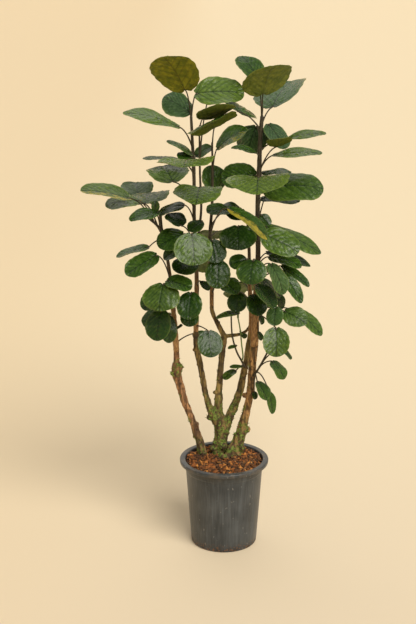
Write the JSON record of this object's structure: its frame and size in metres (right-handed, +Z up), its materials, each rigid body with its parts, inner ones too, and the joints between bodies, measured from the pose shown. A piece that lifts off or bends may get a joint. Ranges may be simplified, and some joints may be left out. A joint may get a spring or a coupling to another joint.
{
  "type": "potted polyscias",
  "caption": "Tall houseplant with round crinkled leaves on slender woody trunks, growing in a plain round nursery pot filled with coconut chips.",
  "frame": {"origin": "centre of the pot's flat base, on the floor", "axes": "+Z up along the pot's axis; +Y away from the side that is looked at; +X to the viewer's right"},
  "size_m": [0.6247, 0.4492, 1.3242],
  "materials": {
    "pot_plastic": "matte charcoal grey, moulded, lightly scuffed",
    "coconut_chips": "rough red-brown chips, dull",
    "bark": "tan fissured bark with leaf scars and a little moss",
    "foliage": "dark green, crinkled and glossy, paler at the veins"
  },
  "bodies": {
    "root": {"pot": "pot_plastic", "soil": "coconut_chips", "trunk_left": "bark", "trunk_centre": "bark", "trunk_right": "bark", "shoot_left": "foliage", "shoot_tall_left": "foliage", "shoot_middle": "foliage", "shoot_inner": "foliage", "shoot_back": "foliage", "shoot_right": "foliage", "twig_low": "foliage", "twig_inner": "foliage"}
  },
  "joints": []
}
